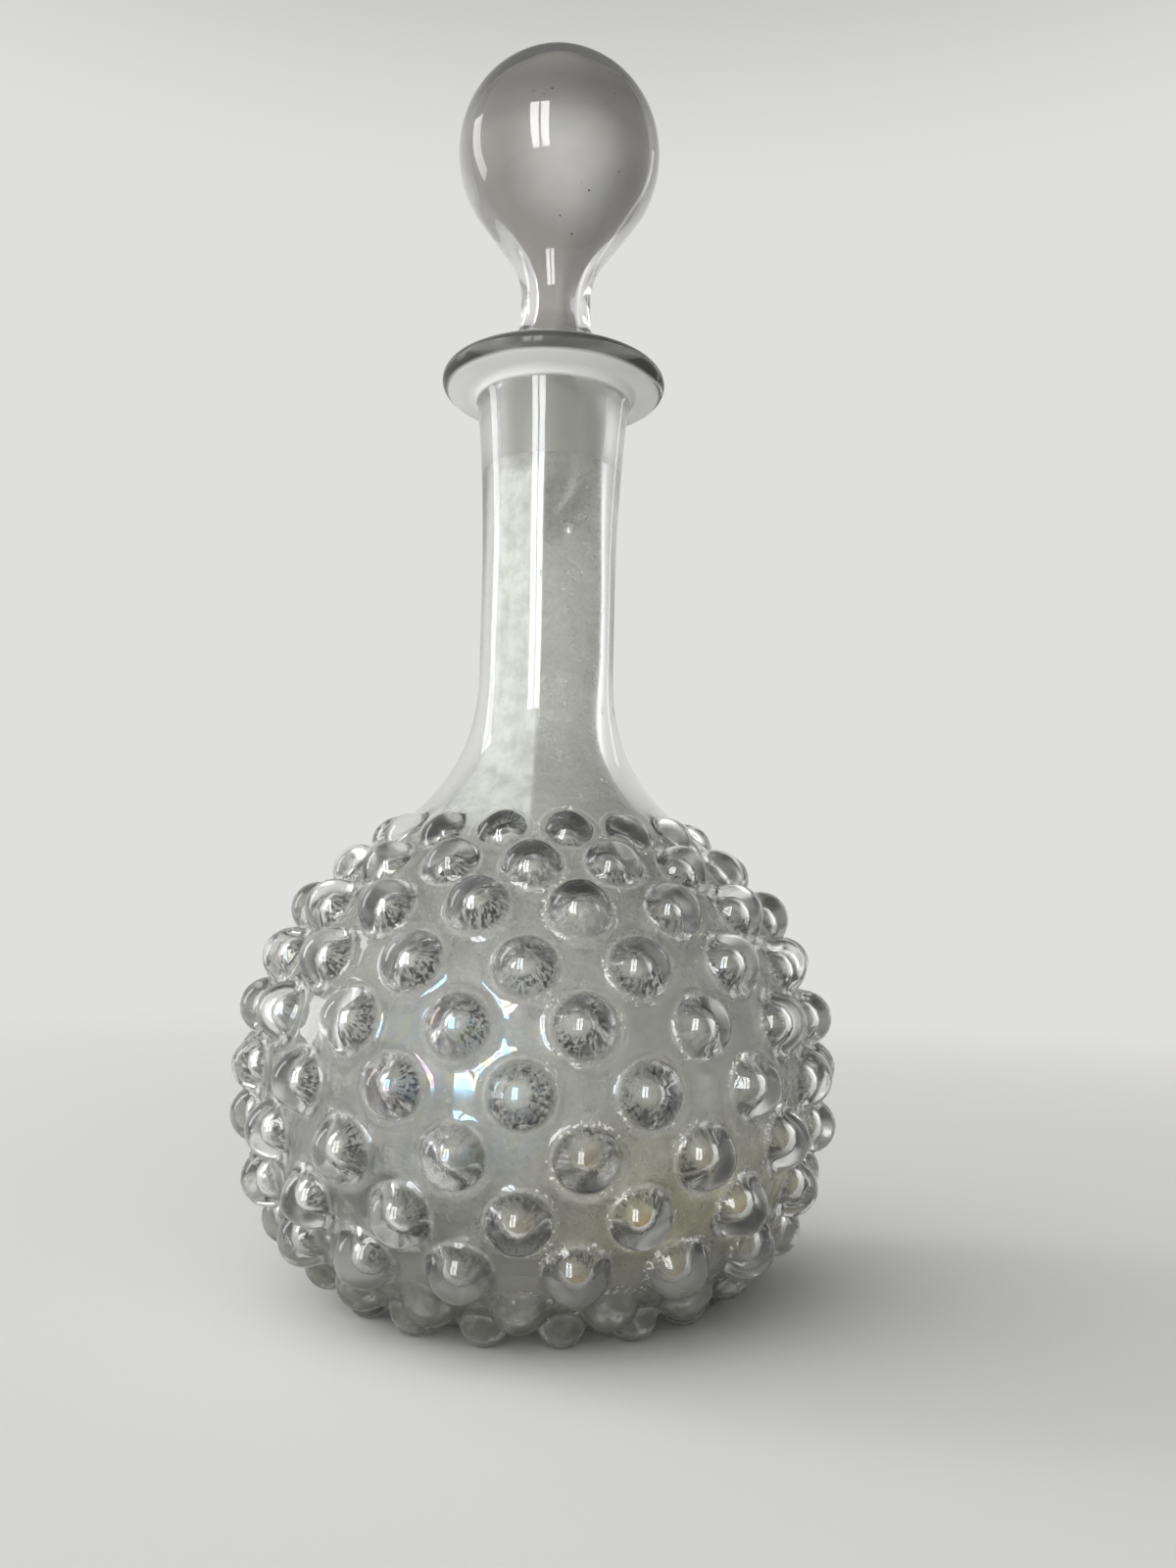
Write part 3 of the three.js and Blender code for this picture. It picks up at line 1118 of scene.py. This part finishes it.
    def mark_knobs(self, piece: bpy.types.Object, points: np.ndarray, along: np.ndarray,
                   skins: np.ndarray) -> None:
        """Lays a map that gives each face's place beside its knob: right and up, in millimetres.

        Args:
            piece: The turned piece.
            points: Its points in millimetres.
            along: Each point's place along the body, or -1.
            skins: The skin that each point belongs to.
        """
        corners = read_all(piece.data.loops, "vertex_index", np.int32)
        sizes = read_all(piece.data.polygons, "loop_total", np.int32)
        face = np.repeat(np.arange(len(sizes)), sizes)
        turn = np.arctan2(points[:, 1], points[:, 0])[corners]
        where, inside = along[corners], (skins == Skin.INSIDE)[corners]
        far = 99.0
        chart = np.full((len(corners), 2), far)
        nearest = np.full(len(sizes), 9.0)
        for knob in self.knobs():
            for skin in (Skin.OUTSIDE, Skin.INSIDE):
                _, _, side, up, away = knob.measure(skin, turn, where)
                mould = knob.shape.mould(skin)
                here = (where >= 0) & (inside == (skin is Skin.INSIDE))
                furthest = np.zeros(len(sizes))
                np.maximum.at(furthest, face, np.where(here, away / mould.reach, far))
                closer = furthest < nearest
                nearest[closer] = furthest[closer]
                own = closer[face]
                out = mould.shape(away[own])[0] + np.maximum(away[own] - mould.reach, 0.0)
                pull = out / np.maximum(away[own] * knob.size, TINY)
                right = side[own] * knob.body_radius
                chart[own] = np.column_stack([right * pull, up[own] * pull])
        layer = piece.data.uv_layers.new(name="knob_place")
        layer.data.foreach_set("uv", chart.ravel())

    def raise_knobs(self, points: np.ndarray, along: np.ndarray, skins: np.ndarray) -> np.ndarray:
        """Draws the knobs out of the wall and sinks a hollow behind each.

        Args:
            points: The turned glass in millimetres.
            along: Each point's place along the body, or -1.
            skins: The skin that each point belongs to.

        Returns:
            The points with knobs and hollows, flat where a knob would pass under the foot.
        """
        turns = np.arctan2(points[:, 1], points[:, 0])
        claimed = np.ones(len(points))
        moved = points.copy()
        for knob in self.knobs():
            for skin, wall in ((Skin.OUTSIDE, self.surface), (Skin.INSIDE, self.inner_surface)):
                centre, height, side, up, away = knob.measure(skin, turns, along)
                mould = knob.shape.mould(skin)
                share = away / mould.reach
                own = np.flatnonzero((along >= 0) & (skins == skin) & (share < claimed))
                claimed[own] = share[own]
                out, rise = mould.shape(away[own])
                pull = out / np.maximum(away[own], TINY)
                turn = centre + side[own] * pull
                base, level = wall(height + up[own] * pull).T
                place = np.column_stack([base * np.cos(turn), base * np.sin(turn), level])
                moved[own] = place + knob.axis * (rise * knob.size)[:, None]
        moved[:, 2] = np.maximum(moved[:, 2], 0.0)
        return moved

    def loosen(self, points: np.ndarray, skins: np.ndarray) -> None:
        """Makes the glass uneven, most of all inside, and leaves the seat and the base true.

        Args:
            points: The points in millimetres, which are moved.
            skins: The skin that each point belongs to.
        """
        turn, height = np.arctan2(points[:, 1], points[:, 0]), points[:, 2]
        top = self.lip_top - self.seat_length - self.even_below_seat
        free = np.clip((height - self.even_foot) / self.even_fade, 0.0, 1.0)
        free *= np.clip((top - height) / self.even_fade, 0.0, 1.0)
        inner, outer = (unevenness(turn, height, seed) for seed in (self.seed, self.seed + 1))
        inside = skins == Skin.INSIDE
        amount = np.where(inside, self.inner_unevenness, self.outer_unevenness) * free
        push_out(points, amount * np.where(inside, inner, outer))


@dataclass
class Stopper:
    """The stopper: one hollow blown piece. Millimetres, with heights from its tip."""

    tip: float
    ball_radius: float = 23.2
    ball_height: float = 92.1
    cone_angle: float = 34.6
    waist_radius: float = 7.9
    waist_curve: float = 18.2
    waist_foot: float = 52.0
    slope_head: float = 49.0
    slope_foot: float = 44.1
    shank_top: float = 42.0
    shank_top_radius: float = 12.4
    shank_end: float = 15.4
    shank_end_radius: float = 11.2
    round_end_depth: float = 13.3
    nub_radius: float = 5.0
    nub_height: float = 3.2
    ball_wall: float = 1.7
    waist_hollow: float = 3.7
    shank_hollow: float = 4.8
    hollow_point: float = 8.0
    hollow_full: float = 20.0
    vent_radius: float = 0.8
    inner_unevenness: float = 0.3
    outer_unevenness: float = 0.06
    even_fade: float = 15.0
    even_crown: float = 6.0
    columns: int = 192
    seed: int = 5

    def shank_radius(self, height: float) -> float:
        """Gives the tapered shank's radius at a height above the floor."""
        taper = (self.shank_top_radius - self.shank_end_radius) / (self.shank_top - self.shank_end)
        return self.shank_end_radius + taper * (height - self.tip - self.shank_end)

    def outline(self) -> list:
        """Gives the outline: down inside the hollow, out of the vent and up the outside.

        Returns:
            Its stretches in order.
        """
        low, high = (self.shank_end_radius, self.shank_end), (self.shank_top_radius, self.shank_top)
        stretches = [
            Stretch(self.hollow_outline(), Skin.INSIDE),
            Stretch(self.end_outline()),
            Stretch(line(low, high, 9), Skin.SEAT),
            Stretch(self.upper_outline()),
        ]
        for stretch in stretches:
            stretch.points = stretch.points + np.array([0.0, self.tip])
        return stretches

    def end_outline(self) -> np.ndarray:
        """Gives the nub and the round end, with a soft hollow where they meet.

        Returns:
            One row of radius and height for each point.
        """
        rim = math.degrees(math.asin(self.vent_radius / self.nub_radius))
        turn = np.radians(np.linspace(rim, 66.0, 8))
        height = self.nub_height * (1.0 - np.cos(turn))
        nub = np.column_stack([self.nub_radius * np.sin(turn), height])
        turn = np.radians(np.linspace(33.0, 90.0, 12))
        height = self.shank_end - self.round_end_depth * np.cos(turn)
        end = np.column_stack([self.shank_end_radius * np.sin(turn), height])
        joint = bezier([nub[-1], (self.nub_radius, self.nub_height * 0.9), end[0]], 4)[1:-1]
        return np.concatenate([nub, joint, end[:-1]])

    def upper_outline(self) -> np.ndarray:
        """Gives the round edge above the shank, the waist, the cone and the ball.

        Returns:
            One row of radius and height for each point.
        """
        waist, shank, curve = self.waist_radius, self.shank_top_radius, self.waist_curve
        middle = ((waist + shank) / 2, (self.slope_head + self.slope_foot) / 2)
        edge = bezier([(shank, self.shank_top), (shank, self.slope_foot), middle], 9)[1:]
        bend = bezier([middle, (waist, self.slope_head), (waist, self.waist_foot)], 8)
        ball = arc((0.0, self.ball_height), self.ball_radius, -self.cone_angle, 90.0, 44)
        ball[-1, 0] = 0.0
        slope = math.radians(self.cone_angle)
        drop = (ball[0, 0] - (waist + curve * (1.0 - math.cos(slope)))) / math.tan(slope)
        waist_top = ball[0, 1] - drop - curve * math.sin(slope)
        inward = arc((waist + curve, waist_top), curve, 180.0, 180.0 - self.cone_angle, 10)
        cone = line(inward[-1], ball[0], 8)[1:-1]
        return np.concatenate([edge, bend[1:], inward, cone, ball])

    def hollow_outline(self) -> np.ndarray:
        """Gives the hollow from its crown down to the vent.

        Returns:
            One row of radius and height for each point.
        """
        inner, slope = self.ball_radius - self.ball_wall, math.radians(self.cone_angle)
        waist, shank = self.waist_hollow, self.shank_hollow
        ball = arc((0.0, self.ball_height), inner, 90.0, -self.cone_angle, 36)
        ball[0, 0] = 0.0
        down = np.array([-math.sin(slope), -math.cos(slope)])
        stem = bezier([
            ball[-1],
            ball[-1] + down * inner / 2.0,
            (waist, self.waist_foot + self.waist_curve * 0.8),
            (waist, self.waist_foot + waist),
        ], 18)
        below = (shank, self.shank_top - 4.0)
        widening = bezier([stem[-1], (waist, self.slope_head), (shank, self.slope_foot), below], 8)
        straight = line(widening[-1], (shank, self.hollow_full), 5)
        pinch = (self.vent_radius, self.hollow_point - 0.5)
        point = bezier([straight[-1], (shank, self.hollow_point + shank), pinch], 10)
        vent = line(point[-1], (self.vent_radius, 0.6), 4)
        return np.concatenate([ball, stem[1:], widening[1:], straight[1:], point[1:], vent[1:]])

    def build(self) -> bpy.types.Object:
        """Makes the mesh of the stopper.

        Returns:
            The stopper, slightly uneven above its shank.
        """
        piece = Turnery.draw("ball_stopper", self.outline())
        Turnery.spin(piece, self.columns)
        points, _, skins = Turnery.read(piece)
        turn, height = np.arctan2(points[:, 1], points[:, 0]), points[:, 2] - self.tip
        radius = np.hypot(points[:, 0], points[:, 1])
        free = np.clip((height - self.shank_top) / self.even_fade, 0.0, 1.0)
        free *= np.clip(radius / self.even_crown, 0.0, 1.0)
        uneven = np.where(skins == Skin.INSIDE, self.inner_unevenness, self.outer_unevenness) * free
        push_out(points, uneven * unevenness(turn, height, self.seed))
        Turnery.finish(piece, points, skins)
        return piece


@dataclass
class Dressing:
    """Gives the pieces their glass and ties them to the frame."""

    body_glass: Glass = KnobGlass("body_glass")
    inner_glass: Glass = InnerGlass("inner_glass", roughness=0.2, haze=(0.44, 0.64))
    ground_glass: Glass = Glass("ground_glass", roughness=0.3, haze=(0.35, 0.5))
    stopper_glass: Glass = Glass("stopper_glass", tint=colour(0.95, 0.95, 0.94))
    stopper_inner: Glass = MilkyGlass(
        "stopper_inner", roughness=0.25, haze=(0.65, 0.85), film=colour(0.33, 0.31, 0.29),
    )

    def dress(self, piece: bpy.types.Object, skins: list, node: str, body: str) -> None:
        """Gives a piece its materials and its place in the frame.

        Args:
            piece: The piece.
            skins: A material for each skin, in the order of Skin.
            node: The node of the frame that it stands for.
            body: The body that it rides on.
        """
        for material in skins:
            piece.data.materials.append(material)
        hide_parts(node)
        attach(piece, body)
        LOG.info("%s: %d faces", piece.name, len(piece.data.polygons))


@dataclass(frozen=True)
class Lamp:
    """A rectangular soft lamp in millimetres. Its radiance is 1 where its face is white."""

    name: str
    place: tuple
    size: tuple
    radiance: float
    lights_film: bool = False
    aim: tuple = (0, 0, 110)

    def hang(self) -> None:
        """Hangs the lamp, turned to the decanter and unseen by the camera."""
        data = bpy.data.lights.new(self.name, "AREA")
        data.shape = "RECTANGLE"
        data.size, data.size_y = self.size[0] * MM, self.size[1] * MM
        data.energy = self.radiance * math.pi * data.size * data.size_y
        lamp = bpy.data.objects.new(self.name, data)
        bpy.context.scene.collection.objects.link(lamp)
        lamp.location = Vector(self.place) * MM
        back = Vector(self.place) - Vector(self.aim)
        lamp.rotation_euler = back.to_track_quat("Z", "Y").to_euler()
        lamp.visible_camera = False
        lamp.visible_diffuse = self.lights_film


@dataclass
class Studio:
    """A plain pale floor and backdrop, soft lamps and the camera of the photograph."""

    pale: tuple = colour(0.74, 0.74, 0.725)
    overhead: tuple = colour(0.14, 0.14, 0.145)
    overhead_rise: tuple = (0.5, 0.85)
    light_from: tuple = (-0.66, -0.66, 0.38)
    light_spread: tuple = (-0.15, 1.0)
    light: tuple = (0.1, 2.35)
    floor_colour: tuple = colour(0.72, 0.72, 0.70)
    floor_radius: float = 1000.0
    floor_fade: tuple = (220.0, 900.0)
    focal_pixels: float = 1293.0
    long_side: float = 1600.0
    sensor: float = 36.0
    eye: tuple = (12.3, -275.8, 75.9)
    heading: float = 0.54
    tilt: float = 6.46
    roll: float = 1.22
    lamps: tuple = (
        Lamp("window_left", (-450, -1000, 260), (160, 950), 13.0),
        Lamp("window_right", (-255, -1070, 260), (160, 950), 13.0),
        Lamp("left_side", (-900, 150, 420), (220, 700), 4.5, lights_film=True),
        Lamp("right_rear", (760, 640, 360), (90, 700), 1.8),
    )

    def world(self) -> None:
        """Gives the pale backdrop that is seen, and the soft light that falls from the left."""
        world = bpy.data.worlds.new("studio")
        bpy.context.scene.world = world
        world.use_nodes = True
        sheet = Shading(world.node_tree)
        direction = sheet.node("ShaderNodeTexCoord")["Generated"]
        _, _, rise = sheet.axes(direction)
        shade = sheet.mix_colour(rise.fade(*self.overhead_rise), self.pale, self.overhead)
        seen = sheet.node("ShaderNodeBackground", {"Color": shade})
        toward = sheet.vector("DOT_PRODUCT", direction, tuple(Vector(self.light_from).normalized()))
        strength = toward["Value"].fade(*self.light_spread, self.light)
        light = sheet.node("ShaderNodeBackground", {"Strength": strength})
        path = sheet.node("ShaderNodeLightPath")
        shown = path["Is Camera Ray"] + path["Is Glossy Ray"] + path["Is Transmission Ray"]
        before_film = path["Diffuse Depth"].fade(0.0, 1.0, (1.0, 0.0))
        sheet.show("ShaderNodeOutputWorld", sheet.mix_surface(shown * before_film, light, seen))

    def floor(self) -> None:
        """Lays the floor, which fades into the backdrop far away."""
        Turnery.deselect()
        radius = self.floor_radius * MM
        bpy.ops.mesh.primitive_circle_add(vertices=96, radius=radius, fill_type="NGON")
        floor = bpy.context.object
        floor.name = "studio_floor"
        sheet = Surface("pale_floor")
        far = sheet.vector("LENGTH", sheet.place)["Value"]
        paint = sheet.node("ShaderNodeBsdfPrincipled", {
            "Base Color": self.floor_colour, "Roughness": 0.9, "Specular IOR Level": 0.0,
        })
        gone = sheet.node("ShaderNodeBsdfTransparent")
        start, end = (reach * MM for reach in self.floor_fade)
        surface = sheet.mix_surface(far.fade(start, end), paint, gone)
        floor.data.materials.append(sheet.finish(surface))

    def camera(self) -> None:
        """Sets the camera where the photograph was taken."""
        data = bpy.data.cameras.new("photo_camera")
        data.sensor_width = self.sensor
        data.lens = self.sensor * self.focal_pixels / self.long_side
        data.clip_start, data.clip_end = 0.01, 20.0
        camera = bpy.data.objects.new("photo_camera", data)
        bpy.context.scene.collection.objects.link(camera)
        turn = Matrix.Rotation(math.radians(self.heading), 4, "Z")
        turn = turn @ Matrix.Rotation(math.radians(90.0 + self.tilt), 4, "X")
        turn = turn @ Matrix.Rotation(math.radians(self.roll), 4, "Z")
        camera.matrix_world = Matrix.Translation(Vector(self.eye) * MM) @ turn
        bpy.context.scene.camera = camera

    def build(self) -> None:
        """Sets up the whole studio."""
        self.world()
        self.floor()
        for lamp in self.lamps:
            lamp.hang()
        self.camera()
        bpy.context.scene.view_settings.view_transform = "Standard"


def main() -> None:
    """Builds the decanter's looks and the studio."""
    logging.basicConfig(level=logging.INFO, format="%(message)s")
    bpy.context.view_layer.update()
    stopper_height = 115.3
    stopper = Stopper(tip=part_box("stopper")[1].z / MM - stopper_height)
    vessel = Vessel(lip_top=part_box("vessel")[1].z / MM, shank_radius=stopper.shank_radius)
    dressing = Dressing()
    inner = dressing.inner_glass.make()
    ground = dressing.ground_glass.make()
    skins = [dressing.body_glass.make(), inner, ground]
    dressing.dress(vessel.build(), skins, "vessel", "decanter")
    skins = [dressing.stopper_glass.make(), dressing.stopper_inner.make(), ground]
    dressing.dress(stopper.build(), skins, "stopper", "stopper")
    Studio().build()


if __name__ == "__main__":
    main()
